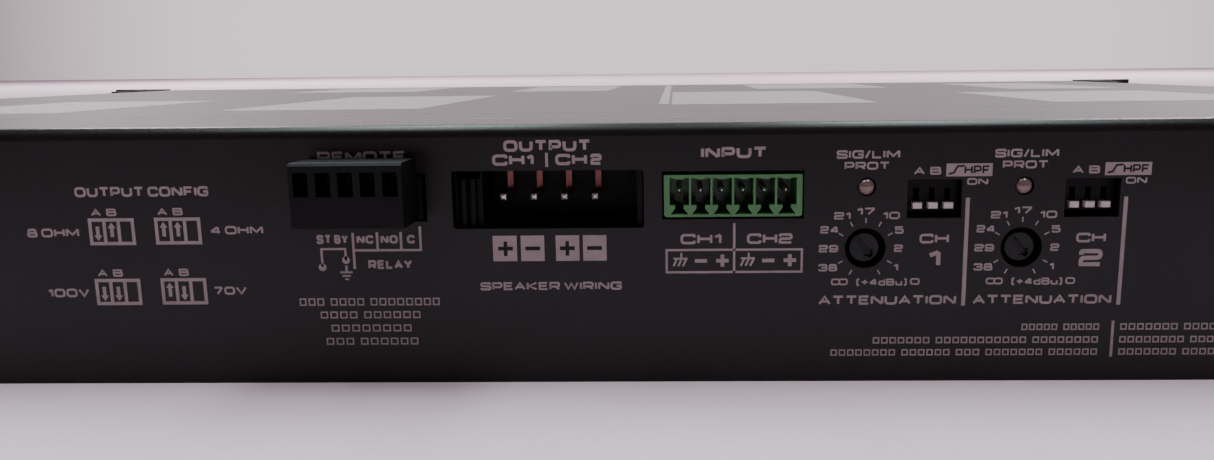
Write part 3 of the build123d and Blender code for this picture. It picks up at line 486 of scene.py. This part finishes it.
# Strokes of each sign, in a box one wide and one high; r rounds a corner, z closes the stroke.
SIGNS = {
    "A": (1.15, "0,0 .5,1 1,0", ".2,.34 .8,.34"),
    "B": (1.1, "0,0 0,1 .95,1r .95,.53", "0,.53 1,.53r 1,0r 0,0"),
    "C": (1.1, "1,.7 1,1r 0,1r 0,0r 1,0r 1,.3"),
    "E": (1.0, "1,1 0,1 0,0 1,0", "0,.52 .9,.52"),
    "F": (1.0, "1,1 0,1 0,0", "0,.48 .88,.48"),
    "G": (1.15, "1,.74 1,1r 0,1r 0,0r 1,0r 1,.48 .55,.48"),
    "H": (1.1, "0,0 0,1", "1,0 1,1", "0,.52 1,.52"),
    "I": (0.22, "0,0 0,1"),
    "K": (1.1, "0,0 0,1", "1,1 .1,.5 1,0"),
    "L": (1.0, "0,1 0,0 1,0"),
    "M": (1.35, "0,0 0,1", "0,1 .5,.2 1,1", "1,1 1,0"),
    "N": (1.15, "0,0 0,1", ".06,1 .94,0", "1,0 1,1"),
    "O": (1.2, "0,0r 0,1r 1,1r 1,0rz"),
    "P": (1.05, "0,0 0,1 1,1r 1,.36r 0,.36"),
    "R": (1.1, "0,0 0,1 1,1r 1,.4r 0,.4", ".5,.4 1,0"),
    "S": (1.1, "1,.74 1,1r 0,1r 0,.52r 1,.48r 1,0r 0,0r 0,.26"),
    "T": (1.1, "0,1 1,1", ".5,1 .5,0"),
    "U": (1.15, "0,1 0,0r 1,0r 1,1"),
    "V": (1.15, "0,1 .5,0 1,1"),
    "W": (1.5, "0,1 .25,0 .5,.9 .75,0 1,1"),
    "Y": (1.15, "0,1 .5,.45 1,1", ".5,.45 .5,0"),
    "0": (1.15, "0,0r 0,1r 1,1r 1,0rz"),
    "1": (0.55, "0,.74 1,1", "1,1 1,0"),
    "2": (1.05, "0,.72 0,1r 1,1r 1,.5r 0,.48r 0,0 1,0"),
    "3": (1.05, "0,.74 0,1r 1,1r 1,.52", "1,.52 1,0r 0,0r 0,.26", ".3,.52 1,.52"),
    "4": (1.1, ".78,0 .78,1", ".72,1 0,.3", "0,.26 1,.26"),
    "5": (1.05, "1,1 0,1 0,.6 1,.6r 1,0r 0,0r 0,.24"),
    "7": (1.0, "0,1 1,1", "1,1 .35,0"),
    "8": (1.05, ".08,.5r .08,1r .92,1r .92,.5rz", "0,0r 0,.52r 1,.52r 1,0rz"),
    "9": (1.05, "0,.26 0,0r 1,0r 1,1r 0,1r 0,.44r 1,.44"),
    "d": (0.95, "1,1 1,0 0,0r 0,.62r 1,.62"),
    "u": (0.95, "0,.66 0,0r 1,0 1,.66"),
    "(": (0.5, "1,1.06 0,1.06r 0,-.06r 1,-.06"),
    ")": (0.5, "0,1.06 1,1.06r 1,-.06r 0,-.06"),
    "+": (1.0, ".5,.1 .5,.9", "0,.5 1,.5"),
    "-": (0.8, "0,.5 1,.5"),
    "/": (0.6, "0,-.06 1,1.06"),
    "~": (2.3, "0,0r 0,1r .5,1r .5,0rz", ".5,0r .5,1r 1,1r 1,0rz"),
}
SIGN_GAP = 0.11
SPACE = 0.18
REGULAR = 0.245
BOLD = 0.27
INK_STEP = 0.002
INK_LAYERS = 6
ROUND = 0.3
ARC_STEPS = 4
MITRE_LIMIT = 0.8


def parse_stroke(text):
    """Points with their corner marks, and whether the stroke is closed."""
    closed = text.endswith("z")
    points = []
    for word in text.rstrip("z").split():
        rounded = word.endswith("r")
        x, y = (float(value) for value in word.rstrip("r").split(","))
        points.append((x, y, rounded))
    return points, closed


def round_corners(points, marks, closed, radius):
    """Replaces marked corners with short arcs of straight steps."""
    made = []
    count = len(points)
    for i, point in enumerate(points):
        inner = closed or 0 < i < count - 1
        if not (marks[i] and inner):
            made.append(point)
            continue
        before, after = points[i - 1], points[(i + 1) % count]
        back, on = before - point, after - point
        reach = min(radius, back.length * 0.48, on.length * 0.48)
        start, end = point + back.normalized() * reach, point + on.normalized() * reach
        for step in range(ARC_STEPS + 1):
            t = step / ARC_STEPS
            made.append(start * (1 - t) ** 2 + point * (2 * t * (1 - t)) + end * t**2)
    return made


def ribbon(points, half, closed):
    """Left and right edges of a stroke of even width, mitred at its corners."""
    count = len(points)
    left, right_side = [], []
    for i, point in enumerate(points):
        before = points[i - 1] if closed or i > 0 else None
        after = points[(i + 1) % count] if closed or i < count - 1 else None
        into = (point - before).normalized() if before is not None else None
        out = (after - point).normalized() if after is not None else None
        into = into if into is not None else out
        out = out if out is not None else into
        normal_in = Vector((-into.y, into.x))
        normal_out = Vector((-out.y, out.x))
        normal = (normal_in + normal_out).normalized()
        lean = max(normal.dot(normal_out), MITRE_LIMIT)
        offset = normal * (half / lean)
        left.append(point + offset)
        right_side.append(point - offset)
    return left, right_side


class Art:
    """Thin printed solids on one flat face; points are (u, v) in millimetres."""

    def __init__(self, name, place, material):
        self.name = name
        self.place = place
        self.material = material
        self.mesh = bmesh.new()
        self.layer = 0

    def prism(self, outline, rise, base=0.0):
        """A closed flat solid over an outline."""
        low = [self.mesh.verts.new(self.place(p[0], p[1], base)) for p in outline]
        high = [self.mesh.verts.new(self.place(p[0], p[1], rise)) for p in outline]
        count = len(outline)
        self.mesh.faces.new(high)
        self.mesh.faces.new(low[::-1])
        for i in range(count):
            j = (i + 1) % count
            self.mesh.faces.new((low[i], low[j], high[j], high[i]))

    def stroke(self, points, width, closed=False, marks=None, radius=0.0, rise=INK):
        points = [Vector(p) for p in points]
        if marks:
            points = round_corners(points, marks, closed, radius)
        left, right_side = ribbon(points, width / 2, closed)
        count = len(points)
        self.layer = (self.layer + 1) % INK_LAYERS
        rise += self.layer * INK_STEP
        for i in range(count if closed else count - 1):
            j = (i + 1) % count
            self.prism((right_side[i], right_side[j], left[j], left[i]), rise)

    def bar(self, u0, v0, u1, v1, rise=INK):
        self.layer = (self.layer + 1) % INK_LAYERS
        rise += self.layer * INK_STEP
        self.prism(((u0, v0), (u1, v0), (u1, v1), (u0, v1)), rise)

    def disc(self, u, v, radius, rise=INK, sides=20):
        angles = [2 * math.pi * i / sides for i in range(sides)]
        self.prism([(u + radius * math.cos(a), v + radius * math.sin(a)) for a in angles], rise)

    def text(self, words, u0, u1, base, top, weight=REGULAR, rise=INK):
        """Words that fill the width from u0 to u1 between base and top."""
        cap = top - base
        line = weight * cap
        widths = [SPACE if c == " " else SIGNS[c][0] for c in words]
        gaps = SIGN_GAP * (len(words) - 1)
        stretch = (u1 - u0) / cap / (sum(widths) + gaps)
        u = u0
        for c, w in zip(words, widths):
            cell = w * cap * stretch
            if c != " ":
                self.sign(c, u, cell, base, cap, line, rise)
            u += cell + SIGN_GAP * cap * stretch

    def sign(self, c, u, cell, base, cap, line, rise):
        span = max(cell - line, 0.0)
        for text in SIGNS[c][1:]:
            points, closed = parse_stroke(text)
            placed = [
                (u + line / 2 + x * span, base + line / 2 + y * (cap - line)) for x, y, _ in points
            ]
            self.stroke(placed, line, closed, [p[2] for p in points], ROUND * cap, rise)

    def finish(self):
        bmesh.ops.recalc_face_normals(self.mesh, faces=self.mesh.faces)
        data = bpy.data.meshes.new(self.name)
        self.mesh.to_mesh(data)
        self.mesh.free()
        data.materials.append(self.material)
        piece = bpy.data.objects.new(self.name, data)
        bpy.context.scene.collection.objects.link(piece)
        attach(piece, BODY)
        return piece


def on_rear(u, v, out):
    return (-u * MM, REAR_Y + out * MM, v * MM)


def on_top(u, d, out):
    return (-u * MM, REAR_Y - d * MM, TOP_Z + out * MM)


def on_front(x, z, out):
    return (x * MM, FRONT_Y - out * MM, z * MM)


FRAME_LINE = 0.56
CONFIG_W = 7.75
CONFIG_H = 4.55


def arrow(art, u, v, height, way):
    """Small block arrow; way is 1 for up and -1 for down."""
    half_stem, half_head, head = 0.3, 0.66, 0.95
    tip, tail = v + way * height / 2, v - way * height / 2
    neck = tip - way * head
    outline = [
        (u - half_stem, tail),
        (u + half_stem, tail),
        (u + half_stem, neck),
        (u + half_head, neck),
        (u, tip),
        (u - half_head, neck),
        (u - half_stem, neck),
    ]
    art.prism(outline if way > 0 else outline[::-1], INK)


def config_box(art, u0, v1, ways):
    """Picture of a three-way selector; ways gives each lever's place, 0 for none."""
    u1, v0 = u0 + CONFIG_W, v1 - CONFIG_H
    art.bar(u0, v0, u1, v0 + FRAME_LINE)
    art.bar(u0, v1 - FRAME_LINE, u1, v1)
    pitch = (CONFIG_W - FRAME_LINE) / 3
    for i in range(4):
        u = u0 + i * pitch
        art.bar(u, v0 + FRAME_LINE, u + FRAME_LINE, v1 - FRAME_LINE)
    for i, way in enumerate(ways):
        if way:
            centre_u = u0 + (i + 0.5) * pitch + FRAME_LINE / 2
            centre_v = (v0 + v1) / 2 + way * 0.32
            arrow(art, centre_u, centre_v, 2.45, way)
    art.text("A", u0 + 0.65, u0 + 2.35, v1 + 0.35, v1 + 1.62)
    art.text("B", u0 + 3.25, u0 + 4.95, v1 + 0.35, v1 + 1.62)


config = Art("print_output_config", on_rear, PRINT)
config.text("OUTPUT CONFIG", -71.5, -49.1, 32.2, 33.9)
config_box(config, -69.8, 28.65, (-1, 1, 0))
config_box(config, -58.65, 28.7, (1, 1, 0))
config_box(config, -69.8, 18.35, (-1, -1, 0))
config_box(config, -58.6, 18.4, (1, -1, 0))
config.text("8 OHM", -80.3, -71.5, 25.5, 27.0)
config.text("4 OHM", -49.4, -40.5, 25.8, 27.2)
config.text("100V", -78.0, -70.9, 15.2, 16.7)
config.text("70V", -49.7, -44.1, 15.5, 16.9)
config.finish()


WORD_GAP = 0.75
BLOCK_FILL = 0.62
BLOCK_HEIGHT = 0.7
BLOCK_LINE = 0.26


def blocks(art, rows):
    """Rows of plain letter-sized boxes; each number is the length of a word."""
    for u0, u1, base, top, words in rows:
        middle, half = (base + top) / 2, (top - base) * BLOCK_HEIGHT / 2
        unit = (u1 - u0 - WORD_GAP * (len(words) - 1)) / sum(words)
        u = u0
        for word in words:
            for _ in range(word):
                end = u + unit * BLOCK_FILL
                low, high = middle - half, middle + half
                ring = [(u, low), (end, low), (end, high), (u, high)]
                art.stroke(ring, BLOCK_LINE, closed=True)
                u += unit
            u += WORD_GAP


remote = Art("print_remote", on_rear, PRINT)
remote.text("REMOTE", -30.6, -16.1, 37.6, 39.4)
remote.text("ST", -31.7, -29.2, 24.05, 25.6, BOLD)
remote.text("BY", -28.75, -26.4, 24.05, 25.6, BOLD)
remote.text("NC", -25.0, -22.2, 24.05, 25.5, BOLD)
remote.text("NO", -21.0, -18.1, 24.05, 25.5, BOLD)
remote.text("C", -16.6, -15.3, 24.05, 25.5, BOLD)
remote.text("RELAY", -23.3, -15.9, 19.75, 21.3, BOLD)
THIN = 0.42
remote.stroke([(-25.6, 25.9), (-25.6, 19.8)], THIN)
remote.stroke([(-21.55, 26.0), (-21.55, 23.15)], THIN)
remote.stroke([(-17.6, 26.0), (-17.6, 23.15)], THIN)
remote.stroke([(-14.35, 26.9), (-14.35, 22.95), (-25.4, 22.95)], THIN)
remote.stroke([(-31.0, 20.2), (-31.0, 23.2), (-27.0, 23.2), (-27.0, 21.3)], THIN)
remote.disc(-31.0, 20.1, 0.66)
remote.disc(-27.0, 21.3, 0.66)
remote.stroke([(-27.0, 20.4), (-27.0, 19.2)], THIN)
remote.bar(-28.1, 19.05, -26.0, 19.4)
remote.bar(-27.75, 18.45, -26.35, 18.78)
remote.bar(-27.35, 17.9, -26.7, 18.2)
blocks(
    remote,
    [
        (-35.2, -11.2, 13.4, 14.9, (3, 4, 8)),
        (-31.8, -14.5, 11.2, 12.6, (4, 6)),
        (-30.1, -16.1, 8.9, 10.3, (8,)),
        (-31.1, -15.1, 6.6, 8.0, (3, 6)),
    ],
)
remote.finish()

output = Art("print_output", on_rear, PRINT)
output.text("OUTPUT", 0.0, 14.3, 39.1, 41.0, BOLD)
output.text("CH1", -1.9, 4.9, 36.85, 38.7, BOLD)
output.stroke([(7.0, 36.6), (7.0, 38.9)], 0.45)
output.text("CH", 8.4, 13.6, 36.85, 38.7, BOLD)
output.text("2", 14.15, 16.0, 36.85, 38.7, BOLD)
for left_edge, right_edge in ((-2.35, 1.65), (2.3, 6.2), (8.1, 12.0), (12.6, 16.5)):
    output.bar(left_edge, 20.95, right_edge, 25.25)
output.text("SPEAKER WIRING", -4.7, 18.9, 16.0, 17.4)
output.finish()

marks = Art("print_polarity", on_rear, KNOCKOUT)
for centre in (-0.25, 10.0):
    marks.bar(centre - 1.22, 22.78, centre + 1.22, 23.4, INK_OVER)
    marks.bar(centre - 0.3, 21.83, centre + 0.3, 24.28, INK_OVER)
for centre in (4.27, 14.5):
    marks.bar(centre - 1.22, 22.78, centre + 1.22, 23.4, INK_OVER)

inputs = Art("print_input", on_rear, PRINT)
inputs.text("INPUT", 32.1, 42.8, 37.75, 39.6, BOLD)
inputs.stroke([(37.53, 27.1), (37.53, 18.7)], 0.4)
inputs.text("CH1", 28.7, 35.44, 23.6, 25.36)
inputs.text("CH2", 39.6, 47.1, 23.6, 25.36)
inputs.stroke([(26.4, 18.9), (48.65, 18.9), (48.65, 22.65), (26.4, 22.65)], THIN, closed=True)
SYMBOL_LINE = 0.35
for shift in (0.0, 11.1):
    inputs.stroke([(28.83 + shift, 22.14), (28.83 + shift, 21.2)], SYMBOL_LINE)
    inputs.bar(27.54 + shift, 21.03, 29.83 + shift, 21.37)
    for i in range(3):
        leg_u = 28.12 + shift + i * 0.78
        inputs.stroke([(leg_u, 21.2), (leg_u - 0.6, 19.92)], SYMBOL_LINE)
    inputs.bar(31.05 + shift, 20.5, 33.06 + shift, 21.12)
    inputs.bar(34.57 + shift, 20.52, 36.62 + shift, 21.14)
    inputs.bar(35.29 + shift, 19.81, 35.91 + shift, 21.85)
inputs.finish()

TICKS = (0, 30, 60, 120, 150, -30, -60, -120, -150)
for index, shift in enumerate((0.0, 25.4)):
    strip = Art(f"print_channel_{index + 1}", on_rear, PRINT)
    centre_u, centre_v = 59.0 + shift, 22.75
    strip.text("SIG/LIM", 54.0 + shift, 64.2 + shift, 37.5, 38.9)
    strip.text("PROT", 55.3 + shift, 62.6 + shift, 35.7, 37.0)
    strip.text("ATTENUATION", 51.5 + shift, 74.2 + shift, 13.2, 14.8)
    strip.text("17", centre_u - 1.55, centre_u + 1.5, centre_v + 5.5, centre_v + 6.75)
    strip.text("21", centre_u - 5.2, centre_u - 2.5, centre_v + 4.8, centre_v + 6.05)
    strip.text("10", centre_u + 2.7, centre_u + 5.5, centre_v + 4.8, centre_v + 6.05)
    strip.text("24", centre_u - 7.4, centre_u - 4.35, centre_v + 2.5, centre_v + 3.75)
    strip.text("5", centre_u + 4.75, centre_u + 6.2, centre_v + 2.4, centre_v + 3.65)
    strip.text("29", centre_u - 7.6, centre_u - 4.4, centre_v - 0.65, centre_v + 0.6)
    strip.text("2", centre_u + 4.7, centre_u + 6.15, centre_v - 0.65, centre_v + 0.6)
    strip.text("38", centre_u - 7.6, centre_u - 4.5, centre_v - 3.85, centre_v - 2.6)
    strip.text("1", centre_u + 4.7, centre_u + 5.5, centre_v - 3.85, centre_v - 2.6)
    strip.text("~", centre_u - 5.5, centre_u - 2.7, centre_v - 6.2, centre_v - 5.05)
    strip.text("(+4dBu)", centre_u - 1.3, centre_u + 7.0, centre_v - 6.3, centre_v - 5.1)
    strip.text("0", centre_u + 7.5, centre_u + 9.1, centre_v - 6.2, centre_v - 5.05)
    for tick in TICKS:
        angle = math.radians(tick)
        across, along = math.sin(angle), math.cos(angle)
        strip.stroke(
            [
                (centre_u + 4.2 * across, centre_v + 4.2 * along),
                (centre_u + 5.05 * across, centre_v + 5.05 * along),
            ],
            0.22,
        )
    strip.text("A", 66.5 + shift, 68.3 + shift, 34.8, 36.1)
    strip.text("B", 69.1 + shift, 70.9 + shift, 34.8, 36.1)
    strip.bar(71.7 + shift, 34.5, 79.1 + shift, 36.6)
    strip.text("ON", 75.1 + shift, 78.5 + shift, 33.1, 34.2)
    strip.text("CH", 67.8 + shift, 72.6 + shift, 23.5, 25.1)
    number_u = 69.25 + shift if index == 0 else 68.45 + shift
    number_w = 2.1 if index == 0 else 3.8
    strip.text(str(index + 1), number_u, number_u + number_w, 19.5, 22.4)
    strip.bar(75.05 + shift, 13.0, 75.7 + shift, 31.0)
    strip.finish()
    marks.stroke(
        [
            (72.1 + shift, 34.9),
            (72.9 + shift, 35.1),
            (73.5 + shift, 36.15),
            (74.6 + shift, 36.2),
        ],
        0.3,
        rise=INK_OVER,
    )
    marks.text("HPF", 74.6 + shift, 78.7 + shift, 34.85, 36.25, 0.21, INK_OVER)
marks.finish()

notes = Art("print_notes", on_rear, PRINT)
blocks(
    notes,
    [
        (85.3, 98.3, 8.65, 9.9, (5, 5)),
        (60.8, 98.3, 6.45, 7.7, (7, 11, 8)),
        (53.8, 98.3, 4.35, 5.6, (8, 6, 3, 7, 6)),
        (101.5, 133.5, 8.65, 9.9, (7, 6, 9)),
        (101.5, 140.5, 6.45, 7.7, (8, 4, 6, 9)),
        (101.5, 129.5, 4.35, 5.6, (7, 5, 7)),
    ],
)
notes.bar(99.95, 4.1, 100.4, 10.3)
notes.text("AC LINE INPUT", 164.0, 186.0, 35.2, 36.8)
notes.finish()

# ---------------------------------------------------------------- marks on the top
top_art = Art("print_top", on_top, PRINT)
for u0, d0, u1, d1 in (
    (27.2, 72.0, 76.0, 175.0),
    (24.0, 75.0, 26.4, 285.0),
    (115.0, 66.0, 172.0, 143.0),
    (59.0, 208.0, 109.0, 285.0),
    (143.0, 172.0, 180.0, 262.0),
    (-77.0, 62.0, -30.5, 156.0),
    (-157.0, 58.0, -112.0, 134.0),
    (-125.0, 218.0, -74.0, 285.0),
    (-34.0, 204.0, 3.0, 285.0),
):
    top_art.bar(u0, d1, u1, d0)
RULE_HEIGHT = 0.9
for u0, u1, d in (
    (-26.5, -21.5, 40.0),
    (-12.5, -9.0, 40.0),
    (-6.5, 7.5, 40.0),
    (8.5, 13.5, 40.0),
    (30.0, 110.0, 47.0),
    (-110.0, -34.0, 36.0),
):
    top_art.bar(u0, d + RULE_HEIGHT, u1, d)
MARK_ROWS = (
    (-33.0, -20.0, 13.0),
    (-17.0, 8.0, 17.0),
    (12.0, 28.0, 13.5),
    (28.0, 60.0, 26.0),
)
MARK_HEIGHT = 1.5
MARK_WIDTH = (0.6, 2.4)
MARK_GAP = (0.4, 1.6)
random.seed(7)
for u_start, u_end, d in MARK_ROWS:
    u = u_start
    while u < u_end:
        width = random.uniform(*MARK_WIDTH)
        top_art.bar(u, d + MARK_HEIGHT, u + width, d)
        u += width + random.uniform(*MARK_GAP)
top_art.finish()

# ---------------------------------------------------------------- front panel marks
front_art = Art("print_front", on_front, PRINT)
front_art.text("POWER", 184.0, 196.0, 31.2, 33.0)
INDICATOR_U = 150.0
INDICATOR_PITCH = 8.0
INDICATOR_COUNT = 4
for i in range(INDICATOR_COUNT):
    u = INDICATOR_U + (i - (INDICATOR_COUNT - 1) / 2) * INDICATOR_PITCH
    front_art.text(str(i + 1), u - 0.5, u + 0.5, 26.4, 28.0)
front_art.finish()
